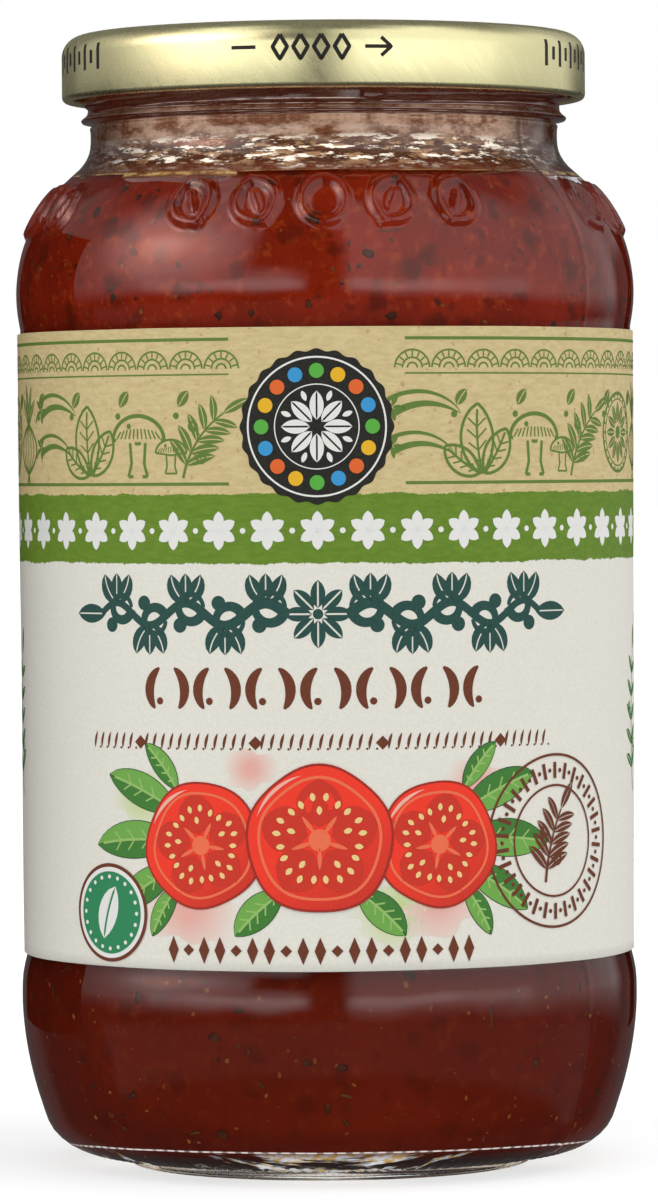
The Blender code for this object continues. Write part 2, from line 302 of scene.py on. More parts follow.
def arithmetic(operation, swapped=False):
    """The method of Wire for one sign, or for that sign with a number in front of it."""
    def calculated(self, other):
        return self.maths(operation, *((other, self) if swapped else (self, other)))
    return calculated


class Wire:
    """A socket of a node tree. Arithmetic on it adds Math nodes, and add puts in any other node."""

    __add__, __radd__ = arithmetic("ADD"), arithmetic("ADD", True)
    __sub__, __rsub__ = arithmetic("SUBTRACT"), arithmetic("SUBTRACT", True)
    __mul__, __rmul__ = arithmetic("MULTIPLY"), arithmetic("MULTIPLY", True)
    __truediv__, __pow__ = arithmetic("DIVIDE"), arithmetic("POWER")

    def __init__(self, tree, socket=None):
        self.tree = tree
        self.socket = socket

    def add(self, kind, settings=None, inputs=None, output=0):
        """Adds a node of that kind, with its settings and its inputs' values or links, and returns one
        output."""
        node = self.tree.nodes.new(kind)
        for key, value in (settings or {}).items():
            setattr(node, key, value)
        for key, value in (inputs or {}).items():
            if isinstance(value, Wire):
                self.tree.links.new(value.socket, node.inputs[key])
            elif isinstance(value, tuple) and node.inputs[key].type == "RGBA":
                node.inputs[key].default_value = (*value, 1.0)
            else:
                node.inputs[key].default_value = value
        return Wire(self.tree, node.outputs[output])

    def maths(self, operation, *values):
        """A Math node of that operation over the values."""
        return self.add("ShaderNodeMath", {"operation": operation}, dict(enumerate(values)))

    def axis(self, number):
        """One coordinate of a place: x, y or z for 0, 1 or 2."""
        return self.add("ShaderNodeSeparateXYZ", {}, {"Vector": self}, number)

    def ray(self, kind):
        """1 where the ray is of that kind and 0 elsewhere."""
        return self.add("ShaderNodeLightPath", output=f"Is {kind} Ray")

    def slanting(self, low, high):
        """1 where the surface is seen at a slant and 0 where it faces the viewer."""
        return self.add("ShaderNodeLayerWeight", output="Facing").step(low, high)

    def step(self, low, high):
        """0 to 1 as the value goes from low to high, with soft ends."""
        return self.add("ShaderNodeMapRange", {"interpolation_type": "SMOOTHSTEP"},
                        {"Value": self, "From Min": low, "From Max": high})

    def blend(self, factor, first, second):
        """The first colour where the factor is 0 and the second where it is 1."""
        return self.add("ShaderNodeMix", {"data_type": "RGBA"}, {0: factor, 6: first, 7: second}, 2)

    def coated(self, colour, *coats):
        """A ground colour under coats, each a mask from 0 to 1 and the colour that it lays on."""
        for mask, tint in coats:
            colour = self.blend(mask, colour, tint)
        return colour

    def noise(self, where, scale, detail=3.0, roughness=0.5, stretch=None):
        """Noise from 0 to 1 at a place, whose features are about 1/scale metres wide."""
        if stretch:
            where = self.add("ShaderNodeMapping", {}, {"Vector": where, "Scale": stretch})
        return self.add("ShaderNodeTexNoise", {},
                        {"Vector": where, "Scale": scale, "Detail": detail, "Roughness": roughness})

    def bump(self, height, distance):
        """A normal tilted by a height from 0 to 1, of that many metres."""
        return self.add("ShaderNodeBump", {}, {"Height": height, "Distance": distance, "Strength": 1.0})


def new_material(name):
    """An empty material, as a wire to start its nodes from, and the place of its surface."""
    material = bpy.data.materials.new(name)
    material.use_nodes = True
    material.node_tree.nodes.clear()
    wire = Wire(material.node_tree)
    return material, wire, wire.add("ShaderNodeTexCoord", output="Object")


def finish_with(material, shader):
    """The material with that shader on its surface."""
    out = material.node_tree.nodes.new("ShaderNodeOutputMaterial")
    material.node_tree.links.new(shader.socket, out.inputs["Surface"])
    return material


def surfaced(material, wire, inputs):
    """The material with one Principled shader that has these inputs."""
    return finish_with(material, wire.add("ShaderNodeBsdfPrincipled", {}, inputs))


def clear_glass():
    """Smooth glass with faint waves from the mould. Lamps pass it, so that they light the sauce."""
    material, wire, place = new_material("clear_glass")
    waves = wire.noise(place, 60.0, 2.0, 0.4)
    shader = wire.add("ShaderNodeBsdfPrincipled", {}, {
        "Base Color": (0.96, 0.975, 0.965), "Roughness": 0.015, "IOR": 1.5, "Transmission Weight": 1.0,
        "Normal": wire.bump(waves, 0.00035),
    })
    lamp_ray = wire.ray("Shadow")
    open_way = wire.add("ShaderNodeBsdfTransparent", {}, {"Color": (0.93, 0.95, 0.94)})
    return finish_with(material, wire.add("ShaderNodeMixShader", {}, {0: lamp_ray, 1: shader, 2: open_way}))


glass_wall = np.concatenate([glass_inside, glass_rim, glass_outside], axis=1)
placed("glass_wall", [glass_wall], clear_glass(), "clear_glass", "glass_jar")

# Tomato sauce
# Thick cooked sauce up to the shoulder, reaching just into the wall so that no gap of air shows. It
# is brownish red and mottled with lighter pulp. Painted shade makes it darker towards the bottom,
# nearly black underneath and darker at a slant, and painted glints glow under its floor.
INTO_WALL = 0.12
FILL_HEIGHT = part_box("sauce")[1][2] / MM
SAUCE_COLUMNS = 240
SHADE_BELOW_HEIGHTS = (28.0, 62.0)
SHADED_UNDERSIDE = (5.0, 5.7)
PAINTED_LIGHT_LINE = (5.52, 5.60, 5.64, 5.72)
GLEAM_GROUPS = 4


def sauce_outline():
    """The inner wall moved into the glass, up to the fill line, then the surface to the axis."""
    wall = inner_wall()
    slope = headings(wall)
    wall = wall + INTO_WALL * np.column_stack([slope[:, 1], -slope[:, 0]])
    wall[0, 0] = 0.0
    below = wall[wall[:, 1] < FILL_HEIGHT - 0.3]
    edge = at_heights(wall[FLOOR_ROWS + 2:], np.array([FILL_HEIGHT + 0.2]))
    surface = [(edge[0, 0] - 0.4, FILL_HEIGHT - 0.3), (edge[0, 0] - 1.6, FILL_HEIGHT - 0.8)]
    surface += [(radius, FILL_HEIGHT - 1.0) for radius in (28.0, 20.0, 10.0, 0.0)]
    return np.concatenate([below, edge, surface])


def sauce_swell(bearing, height):
    """The fill line and surface rise and fall a little, by a few slow waves round the jar."""
    angle = np.radians(bearing)
    wave = 0.35 * np.sin(3 * angle + 0.6) + 0.22 * np.sin(7 * angle + 2.0) + 0.12 * np.sin(17 * angle)
    return np.where(height > FILL_HEIGHT - 1.2, wave * 0.5, 0.0)


def tomato_sauce():
    """Red-brown in slow patches under orange pulp, dark spots, fine grain and round blots, with painted
    shade that makes it darker and browner below the label. The underside is painted nearly black as
    shade, with painted glints that glow, gathered where cos(4 bearing) is high, and a broken painted
    line of light glows round it where the ribbed base would throw light. All darken at a slant, as
    painted shade."""
    material, wire, place = new_material("tomato_sauce")
    x, y, height = (place.axis(number) / MM for number in range(3))
    broad = wire.noise(place, 75.0, 2.0, 0.5).step(0.36, 0.66)
    pulp = wire.noise(place, 520.0, 4.0, 0.66).step(0.52, 0.70)
    dark = wire.noise(place, 300.0, 3.0, 0.5).step(0.56, 0.72)
    cells = wire.add("ShaderNodeTexVoronoi", {}, {"Vector": place, "Scale": 170.0})
    blots = 1 - (cells + 0.6 * wire.noise(place, 600.0, 3.0)).step(0.42, 0.66)
    grain = wire.noise(place, 2000.0, 2.0, 0.6).step(0.35, 0.8)
    # Painted shade: the sauce's underside, where little light reaches, goes nearly black.
    below = 1 - height.step(*SHADED_UNDERSIDE)
    # Painted shade where the sauce is seen at a slant.
    slanting = wire.slanting(0.10, 0.28)
    colour = wire.coated(
        wire.blend(broad, (0.26, 0.0135, 0.0012), (0.37, 0.0205, 0.0026)),
        (pulp * 0.6, (0.54, 0.075, 0.011)),
        (dark * 0.6, (0.085, 0.008, 0.0015)),
        (grain * 0.2, (0.42, 0.052, 0.009)),
        (blots * 0.58, (0.060, 0.0085, 0.0018)),
        # Painted shade: darker and browner towards the bottom, below the label.
        ((1 - height.step(*SHADE_BELOW_HEIGHTS)) * 0.74, (0.115, 0.0095, 0.0016)),
        (below, (0.010, 0.005, 0.003)),
        (slanting * 0.4, (0.04, 0.002, 0.0004)),
    )
    uneven = wire.noise(place, 900.0, 2.0, 0.5)
    bearing = wire.maths("ARCTAN2", x, y)
    # Painted glints under the floor, gathered into four groups round the jar.
    gathered = wire.maths("COSINE", bearing * GLEAM_GROUPS).step(0.1, 0.8)
    gleam = wire.noise(place, 330.0, 4.0, 0.65, (0.2, 1.7, 2.2)) + 0.17 * gathered
    # A painted broken line of light, in dashes as many as the base's ribs.
    ribs = (wire.maths("SINE", bearing * KNURLS) + 4 * uneven).step(1.0, 2.2)
    line = (0.25 + 0.75 * ribs) * height.step(*PAINTED_LIGHT_LINE[:2]) * (1 - height.step(*PAINTED_LIGHT_LINE[2:]))
    glint = wire.blend(uneven.step(0.4, 0.6), (0.62, 0.42, 0.16), (0.72, 0.74, 0.78))
    # Emission makes the painted glints and line of light glow, though the sauce is no lamp.
    shine = wire.coated((0.0, 0.0, 0.0), (gleam.step(0.56, 0.64) * below, glint), (line, (0.80, 0.76, 0.72)))
    return surfaced(material, wire, {
        "Base Color": colour, "Roughness": 0.5, "Specular IOR Level": 0.03, "Emission Color": shine,
        "Emission Strength": 1.0,
    })


sauce_fill = turned(sauce_outline()[::-1], SAUCE_COLUMNS, sauce_swell)
placed("sauce_fill", [sauce_fill], tomato_sauce(), "tomato_sauce", "sauce")

# Herbs, seeds and pulp
# Chopped basil, seeds and bits of pulp that lie against the glass, above and below the label. Each
# is a small flat lump with an uneven edge, at its true size.
rng = np.random.default_rng(7)
ABOVE_LABEL = (115.0, 135.6)
BELOW_LABEL = (6.5, 30.5)
LUMP_THICKNESS = 0.1


def scattered(count, sizes, longer, above_share):
    """Flat lumps on the inner wall, seven-sided with radii drawn at random. Each is a grid of four
    rings from pole to pole, laid in the wall's own plane and turned at random in it. The share of
    them that lies above the label is above_share."""
    above = rng.random(count) < above_share
    height = np.where(above, rng.uniform(*ABOVE_LABEL, count), rng.uniform(*BELOW_LABEL, count))
    bearing = rng.uniform(-180.0, 180.0, count)
    size = sizes[0] + (sizes[1] - sizes[0]) * rng.random(count) ** 2.2
    wall = inner_wall()[1:]
    radius = np.interp(height, wall[:, 1], wall[:, 0])
    tilt = np.interp(height + 0.6, wall[:, 1], wall[:, 0]) - np.interp(height - 0.6, wall[:, 1], wall[:, 0])
    angle = np.radians(bearing)
    out = np.stack([np.sin(angle), -np.cos(angle), -tilt / 1.2], axis=-1)
    out /= np.linalg.norm(out, axis=1)[:, None]
    across = np.stack([np.cos(angle), np.sin(angle), 0 * angle], axis=-1)
    upward = np.cross(out, across)
    turn = rng.uniform(0, 2 * np.pi, count)[:, None]
    first = across * np.cos(turn) + upward * np.sin(turn)
    second = upward * np.cos(turn) - across * np.sin(turn)
    edge = rng.uniform(0.35, 1.0, (count, 1, 7))
    spokes = np.linspace(0, 2 * np.pi, 7, endpoint=False)[None, None, :]
    ring = np.array([0.0, 0.72, 1.0, 0.0])[None, :, None]
    lift = np.array([0.5, 0.42, 0.0, -0.5])[None, :, None] * LUMP_THICKNESS
    x = size[:, None, None] / 2 * ring * edge * np.cos(spokes) * rng.uniform(0.6, longer, (count, 1, 1))
    y = size[:, None, None] / 2 * ring * edge * np.sin(spokes)
    lift = lift + 0 * x
    middle = wrapped(angle, radius, height) + out * (INTO_WALL + 0.02)
    return (middle[:, None, None] + x[..., None] * first[:, None, None] + y[..., None] * second[:, None, None]
            + lift[..., None] * out[:, None, None])


def bits(name, dark, light):
    """Chopped matter in two tones, changed by noise from one bit to the next."""
    material, wire, place = new_material(name)
    tone = wire.noise(place, 500.0, 2.0).step(0.35, 0.65)
    return surfaced(material, wire, {
        "Base Color": wire.blend(tone, dark, light), "Roughness": 0.5, "Specular IOR Level": 0.1,
    })


for name, count, sizes, longer, above_share, look, dark, light in (
    ("herb_flecks", 420, (0.45, 2.1), 1.6, 0.5, "chopped_basil",
     (0.055, 0.012, 0.0025), (0.145, 0.028, 0.005)),
    ("herb_stalks", 34, (0.5, 0.7), 9.0, 0.35, "herb_stalks", (0.10, 0.030, 0.005), (0.17, 0.075, 0.014)),
    ("tomato_seeds", 560, (0.22, 1.1), 1.6, 0.5, "seeds_and_pulp", (0.25, 0.04, 0.006), (0.36, 0.12, 0.02)),
):
    lumps = scattered(count, sizes, longer, above_share)
    placed(name, [lumps], bits(look, dark, light), "tomato_sauce")

# Film above the sauce
# The glass above the fill line is still coated from filling: a thin brown film with drops, thickest
# just over the sauce. Its glints, streaks and lines of light are painted highlights, its glow is
# painted backlight, and it is painted darker at a slant as shade.
FILM_INTO_WALL = 0.06
FILM_TOP = 155.0
SPLASH_FOOT = (137.6, 139.4)
SPLASH_TOP = (141.6, 144.0)
GLINT_ROW = 141.3
GLINT_ROW_STEP = 1.8
UNDER_LID = (144.8, 145.8)
# Heights of the two painted lines of highlight at the bead
BEAD_HIGHLIGHT_HEIGHTS = (146.0, 147.3)


def film_outline():
    """The inner wall from the mouth down to the fill line, moved a little into the glass."""
    wall = np.concatenate([inner_wall(), [(BORE_RADIUS, FILM_TOP)]])
    film = at_heights(wall[FLOOR_ROWS + 2:], np.linspace(FILL_HEIGHT - 0.4, FILM_TOP, 40))
    film[:, 0] += FILM_INTO_WALL
    return film[::-1]


def clinging_film():
    """Noise thins the brown film in places. A splashed band over the sauce is dark with painted streaks
    of highlight, and painted sparks of light lie in it in uneven rows. A golden line marks the fill
    height, two painted lines of highlight the bead, and it is dark red under the lid and painted darker
    at a slant as shade. As painted backlight it glows with a share of its colour, more at the sparks
    and the bead's lines, though it is no lamp."""
    material, wire, place = new_material("clinging_film")
    height = place.axis(2) / MM
    smear = wire.noise(place, 240.0, 5.0, 0.62, (1.0, 1.0, 1.8))
    drops = wire.noise(place, 1000.0, 3.0, 0.55, (1.0, 1.0, 1.5))
    streaks = wire.noise(place, 330.0, 5.0, 0.72, (1.0, 1.0, 3.4))
    above = height + 1.6 * smear
    splashed = above.step(*SPLASH_FOOT) * (1 - above.step(*SPLASH_TOP))
    rows = wire.maths("COSINE", (above - GLINT_ROW) * (2 * math.pi / GLINT_ROW_STEP))
    # Painted sparks of light, in uneven rows in the splashed band.
    sparks = wire.noise(place, 1100.0, 3.0, 0.6, (0.32, 0.32, 1.5)) + 0.05 * rows
    sparks = sparks.step(0.52, 0.57) * streaks.step(0.46, 0.53) * splashed
    # Painted shade where the film is seen at a slant.
    slanting = wire.slanting(0.12, 0.28)
    over_fill = height - FILL_HEIGHT
    golden = over_fill.step(-0.3, 0.0) * (1 - over_fill.step(0.15, 0.45))
    colour = wire.coated(
        wire.blend(smear.step(0.40, 0.60), (0.34, 0.12, 0.050), (0.95, 0.60, 0.42)),
        (drops.step(0.5, 0.75) * 0.6, (0.90, 0.60, 0.42)),
        ((1 - height.step(FILL_HEIGHT, FILL_HEIGHT + 5.0)) * 0.8, (0.24, 0.034, 0.006)),
        (splashed * 0.85, (0.12, 0.028, 0.008)),
        # Painted streaks of highlight in the splashed band.
        (streaks.step(0.50, 0.56) * splashed, (0.86, 0.50, 0.27)),
        (sparks, (1.0, 0.95, 0.86)),
        (slanting * 0.85, (0.05, 0.012, 0.004)),
        (golden * streaks.step(0.40, 0.55), (0.95, 0.62, 0.24)),
        (height.step(*UNDER_LID) * 0.93, (0.11, 0.014, 0.004)),
    )
    # Painted lines of highlight at the bead's two edges, which glow.
    edges = 2 - wire.maths("ABSOLUTE", height - BEAD_HIGHLIGHT_HEIGHTS[0]).step(0.04, 0.18)
    edges = edges - wire.maths("ABSOLUTE", height - BEAD_HIGHLIGHT_HEIGHTS[1]).step(0.04, 0.16)
    # Painted glow of light through the film, brighter at the sparks and the bead's lines, though it is no
    # lamp.
    glow = wire.coated(
        wire.blend(0.86, colour, (0.0, 0.0, 0.0)),
        (edges * smear.step(0.36, 0.56) * (1 - slanting) * 0.6, (0.80, 0.62, 0.52)),
        (sparks * (1 - slanting), (1.0, 0.88, 0.72)),
    )
    return surfaced(material, wire, {
        "Base Color": colour, "Roughness": 0.14, "Alpha": 0.9 + 0.1 * smear.step(0.3, 0.5), "IOR": 1.4,
        "Specular IOR Level": 0.2, "Emission Color": glow, "Emission Strength": 1.0,
        "Normal": wire.bump(smear + drops * 0.5, 0.0016),
    })


placed("clinging_film", [turned(film_outline(), SAUCE_COLUMNS)], clinging_film(), "tomato_sauce")

# Paper label
# A wrapped sleeve of uncoated paper: a kraft-coloured band with fine specks, a green band with torn
# edges and a cream field, glued with a lap at the back.
LABEL_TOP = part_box("label")[1][2] / MM
LABEL_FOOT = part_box("label")[0][2] / MM
LABEL_STAND = 0.45
LABEL_PAPER = 0.33
LAP_WIDTH = 9.0
BAND_KRAFT = 93.8
BAND_GREEN = 84.5
LABEL_COLUMNS = 360


def label_radius(height):
    """The label's outer face: the glass panel's cone, a sheet further out."""
    return np.interp(height, [PANEL[1][1], PANEL[0][1]], [PANEL[1][0], PANEL[0][0]]) + LABEL_STAND


def label_shape():
    """Down the outer face, round the lower edge, up the inner face and back round the upper edge."""
    down = np.linspace(LABEL_TOP - 0.1, LABEL_FOOT + 0.1, 60)
    outer = np.column_stack([label_radius(down), down])
    foot = [(label_radius(LABEL_FOOT) - inward, LABEL_FOOT) for inward in (0.1, LABEL_PAPER)]
    top = [(label_radius(LABEL_TOP) - inward, LABEL_TOP) for inward in (LABEL_PAPER, 0.1)]
    return np.concatenate([outer, foot, top, outer[:1]])


def label_unevenness(bearing, height):
    """Slow ripples in the paper, and one more sheet where the ends lap at the back."""
    angle = np.radians(bearing)
    ripple = 0.03 * np.sin(5 * angle + 0.09 * height) + 0.02 * np.sin(11 * angle - 0.15 * height)
    lap = 0.12 * (bearing < LAP_WIDTH - 180.0)
    return ripple - 0.03 + lap


def printed_paper():
    """Three fields by height, whose borders noise makes ragged, on paper with specks and a fine tooth."""
    material, wire, place = new_material("printed_paper")
    height = place.axis(2) / MM
    tooth = wire.noise(place, 2500.0, 2.0, 0.6)
    ragged = wire.noise(place, 900.0, 6.0, 0.75) - 0.5
    slow = wire.noise(place, 160.0, 2.0, 0.5) - 0.5
    torn = height + ragged * 1.1 + slow * 0.9
    fibre = wire.noise(place, 520.0, 4.0, 0.7, (1.0, 1.0, 3.0))
    specks = wire.noise(place, 1300.0, 2.0, 0.5).step(0.66, 0.72)
    kraft = wire.blend(fibre.step(0.3, 0.7), (0.58, 0.455, 0.215), (0.68, 0.555, 0.285))
    specked = wire.blend(specks * 0.6, kraft, (0.42, 0.22, 0.09))
    green = wire.blend(fibre.step(0.35, 0.7), (0.118, 0.23, 0.012), (0.155, 0.27, 0.022))
    cream = wire.blend(tooth.step(0.3, 0.7), (0.76, 0.74, 0.655), (0.81, 0.79, 0.71))
    colour = wire.coated(cream, (torn.step(BAND_GREEN - 0.05, BAND_GREEN + 0.05), green),
                         (torn.step(BAND_KRAFT - 0.05, BAND_KRAFT + 0.05), specked))
    return surfaced(material, wire, {
        "Base Color": colour, "Roughness": 0.62 + 0.15 * tooth, "Specular IOR Level": 0.35,
        "Normal": wire.bump(tooth + fibre * 0.5, 0.00004),
    })


label_sleeve = turned(label_shape(), LABEL_COLUMNS, label_unevenness)
placed("label_sleeve", [label_sleeve], printed_paper(), "printed_paper", "label")

# Printed ornament
# Flat inks on the paper: green kitchen-garden stamps on the kraft band, a dark medallion, white
# flowers, a leafy scroll, cut tomatoes with leaves, a badge, a ring stamp and rows of marks.
INK_LAYER = 0.022
OLIVE_INK = (0.115, 0.205, 0.032)
WHITE_INK = (0.80, 0.80, 0.77)
BLACK_INK = (0.010, 0.010, 0.008)
TEAL_INK = (0.013, 0.068, 0.058)
BROWN_INK = (0.145, 0.032, 0.011)
TOMATO_INK = (0.90, 0.036, 0.014)
SKIN_INK = (0.36, 0.018, 0.010)
FLESH_INK = (0.86, 0.16, 0.07)
SEED_INK = (0.85, 0.62, 0.25)
LEAF_INK = (0.045, 0.20, 0.030)
LIGHT_LEAF_INK = (0.16, 0.40, 0.07)
LEAF_EDGE_INK = (0.015, 0.07, 0.02)
VEIN_INK = (0.30, 0.52, 0.14)
PINK_WASH = (0.80, 0.42, 0.36)
GREEN_WASH = (0.55, 0.66, 0.28)
PAPER_TINT = (0.785, 0.765, 0.68)
FRONT_MIDDLE = -1.2
LINE = 0.42
ROUND_LABEL = 2 * math.pi * label_radius(100.0)
sheets, tints = [], []


def bent(length, bend=0.0, count=9):
    """A path from the origin, upwards at first, whose heading turns evenly by bend degrees."""
    heading = np.radians(bend) * np.linspace(0.0, 1.0, count)
    steps = np.column_stack([np.sin(heading), np.cos(heading)]) * length / (count - 1)
    return np.concatenate([[(0.0, 0.0)], np.cumsum(0.5 * (steps[1:] + steps[:-1]), axis=0)])


def band(path, left, right):
    """A strip beside a path, from left to right of it in millimetres, each one number or an array."""
    path = np.asarray(path, float)
    ahead = headings(path)
    side = np.column_stack([-ahead[:, 1], ahead[:, 0]])
    edges = [path + side * np.broadcast_to(reach, len(path))[:, None] for reach in (left, -np.asarray(right))]
    return np.stack(edges, axis=1)


def ribbon(path, width=LINE):
    """A strip of a width along a path."""
    return band(path, np.asarray(width) / 2, np.asarray(width) / 2)


def leaf_half(width, count):
    """Half the width of a leaf along its length: w/2 (1 - (2t - 1)^2)^0.8 at the share t of it."""
    return width / 2 * (1 - (2 * np.linspace(0, 1, count) - 1) ** 2) ** 0.8


def leaf(length, width, bend=0.0, vein=0.0):
    """A leaf as its two halves, with a bare vein between them."""
    path = bent(length, bend)
    half = leaf_half(width, len(path))
    gap = np.minimum(vein / 2, half)
    return [band(path, half, -gap), band(path, -gap, half)]


def drawn_leaf(length, width, bend=0.0):
    """A leaf in line: its edge, its midrib and side veins that leave it at 40 degrees."""
    path = bent(length, bend, 13)
    half = leaf_half(width, len(path))
    edges = band(path, half, half)
    parts = [ribbon(edges[:, 0]), ribbon(edges[:, 1]), ribbon(path[:-1], 0.8 * LINE)]
    for place in range(2, 10, 2):
        ahead = path[place + 1] - path[place]
        ahead /= np.hypot(*ahead)
        for side in (-1, 1):
            across = np.array([-ahead[1], ahead[0]]) * side
            tip = path[place] + (0.75 * across + 0.65 * ahead) * half[place] * 0.8
            parts.append(ribbon([path[place], tip], 0.55 * LINE))
    return parts


def disc(radius, inner=0.0, rings=2, corners=48, waves=()):
    """A disc or ring: radii by angles, the last angle on the first. Each wave is a share, a count and a
    phase, and adds share * cos(count * angle + phase) to the radius."""
    angle = np.linspace(0, 2 * np.pi, corners + 1)[None, :]
    edge = 1.0 + sum(share * np.cos(waved * angle + phase) for share, waved, phase in waves)
    reach = np.linspace(inner, radius, rings)[:, None] * (edge + 0 * angle)
    return np.stack([reach * np.sin(angle), reach * np.cos(angle)], axis=-1)


def dot(radius, corners=12):
    """A small filled disc, as a list of one part."""
    return [disc(radius, 0.0, 2, corners)]


def moved(parts, at=(0.0, 0.0), turn=0.0, size=1.0):
    """The parts scaled, turned clockwise by degrees and moved."""
    spin = math.radians(turn)
    matrix = size * np.array([[math.cos(spin), -math.sin(spin)], [math.sin(spin), math.cos(spin)]])
    return [part @ matrix + np.array(at) for part in parts]


def clock(angles):
    """Places on a circle of radius 1, clockwise from the top by degrees."""
    return np.stack([np.sin(np.radians(angles)), np.cos(np.radians(angles))], axis=-1)


def around(parts, count, radius, first=0.0):
    """The parts repeated round a circle, each turned to point outwards."""
    placed_parts = []
    for number in range(count):
        turn = first + 360.0 * number / count
        placed_parts += moved(parts, radius * clock(turn), turn)
    return placed_parts


def on_label(x, z, proud):
    """Points on the paper: x millimetres round it from the front and z up, a little proud of it."""
    bearing = np.degrees(x / label_radius(z))
    return wrapped(np.radians(bearing), label_radius(z) + label_unevenness(bearing, z) + proud, z)


def printed(parts, colour, at=(0.0, 0.0), layer=1, fade=None):
    """Lays the parts on the label in one ink, moved to a place. fade(part) gives a second ink's share
    at each point, and that ink."""
    for part in moved(parts, at):
        sheets.append(on_label(part[..., 0], part[..., 1], layer * INK_LAYER)[None])
        tint = np.broadcast_to(np.array(colour), (*part.shape[:2], 3))
        if fade:
            share, second = fade(part)
            tint = tint * (1 - share[..., None]) + np.array(second) * share[..., None]
        tints.append(tint[None])


def olive_sprig(length=15.0, bend=35.0):
    """A stem with narrow leaves in pairs and a few olives on short stalks."""
    stem = bent(length, bend, 25)
    parts = [ribbon(stem, np.linspace(0.45, 0.25, 25))]
    for number, place in enumerate(range(4, 24, 4)):
        turn = bend * place / 24
        size = 1.0 - 0.05 * number
        for side in (1, -1):
            parts += moved(leaf(5.0, 1.5, 25.0 * side, 0.18), stem[place], turn + 42 * side, size)
    parts += moved(leaf(4.6, 1.4, 10.0, 0.18), stem[-1], bend)
    for place, side in ((8, 1), (14, -1)):
        stalk = moved([ribbon(bent(1.9, 10.0, 4), 0.2)], stem[place], side * 85 + bend * place / 24)
        parts += stalk + moved([disc(0.85, 0.5, 2, 20)], stalk[0][-1].mean(axis=0))
    return parts


def onion():
    """A bulb drawn by arcs from its neck to its root, with leaves above and roots below."""
    t = np.linspace(0, 1, 21)
    swell = np.sin(np.pi * t) ** 0.8
    parts = []
    for share in (-1.0, -0.66, -0.33, 0.0, 0.33, 0.66, 1.0):
        width = LINE if abs(share) == 1 else 0.6 * LINE
        parts.append(ribbon(np.column_stack([3.6 * share * swell, 7.0 * t]), width))
    for turn, reach in ((-24, 5.4), (-8, 6.6), (9, 6.2), (25, 5.0)):
        parts += moved(leaf(reach, 1.1, turn, 0.2), (0.0, 6.6), turn)
    for turn in (150, 165, 180, 195, 210):
        parts += moved([ribbon(bent(1.5, 12.0, 4), 0.2)], (0.0, 0.2), turn)
    return parts


def rosette(radius=5.6):
    """Two rings round twelve petals and a dotted heart."""
    parts = [disc(radius, radius - LINE), disc(radius - 0.9, radius - 1.1)]
    parts += around(leaf(2.9, 1.15, 0.0, 0.16), 12, 1.3)
    parts += dot(0.9, 16) + around(dot(0.2, 8), 24, radius - 0.6)
    return parts


def pepper():
    """A curved pod, wide at its cap and thin at its tip, with a line of light along it."""
    path = bent(10.5, 70.0, 21)
    half = 1.35 * (1 - np.linspace(0, 1, 21) ** 1.6) ** 0.7 + 0.05
    parts = [band(path, half, -0.55 * half), band(path, -0.3 * half, half)]
    parts += around(leaf(1.9, 0.7), 5, 0.1, 36.0)
    return parts + moved([ribbon(bent(2.6, -40.0, 6), 0.4)], turn=190.0)


def mushroom():
    """A cap in outline with hatching under it and a stout stalk."""
    cap = clock(np.linspace(-90, 90, 25)) * (4.0, 3.0)
    parts = [ribbon(cap, 1.2 * LINE), ribbon([(-4.0, 0.0), (0.0, -0.5), (4.0, 0.0)], LINE)]
    for share in np.linspace(-0.85, 0.85, 11):
        parts.append(ribbon([(4.0 * share, 0.1), (3.2 * share, 0.9 + 0.5 * (1 - share**2))], 0.5 * LINE))
    for side in (-1, 1):
        parts.append(ribbon([(1.2 * side, -0.4), (1.0 * side, -3.0), (1.5 * side, -4.6)], LINE))
    return parts + [ribbon([(-1.5, -4.6), (1.5, -4.6)], LINE)] + moved(dot(0.35, 10), (-1.4, 1.7))


def fan():
    """A scallop of three arcs with rays between the outer two."""
    rim = clock(np.linspace(-88, 88, 15))
    rays = [ribbon([1.55 * rim[place], 2.3 * rim[place]], 0.2) for place in range(1, 14, 2)]
    return [ribbon(reach * rim, 0.24) for reach in (2.45, 1.4, 0.7)] + rays


def rule(first, last, z, width=LINE):
    """A straight printed line round part of the label."""
    return [ribbon(np.column_stack([np.linspace(first, last, 120), np.full(120, z)]), width)]


# The kraft band's stamps, one after the other round the jar except where the medallion lies
STAMP_COUNT = 28
STAMP_STEP = ROUND_LABEL / STAMP_COUNT
MEDALLION = (FRONT_MIDDLE, 102.8)
MEDALLION_ROOM = 13.0
BAND_RULES = [(114.6, LINE), (109.9, 0.5 * LINE), (95.2, LINE)]
band_stamps = [
    moved(olive_sprig(12.0, 45.0), (-4.2, 96.0), 12.0, 0.9),
    moved(rosette(), (0.0, 101.9)),
    moved(onion(), (0.0, 96.6), size=0.98),
    moved(pepper(), (-4.4, 105.4), 60.0) + moved(pepper(), (-4.4, 100.2), 62.0, 0.9),
    moved(drawn_leaf(9.5, 5.0, 20.0), (-1.0, 96.4), -14.0)
    + moved(drawn_leaf(7.0, 3.8, -15.0), (-0.6, 96.4), 38.0)
    + moved(drawn_leaf(6.4, 3.4, 15.0), (-1.4, 96.4), -62.0),
    moved(mushroom(), (-1.8, 101.2), size=1.08) + moved(mushroom(), (3.6, 99.4), size=0.6),
]
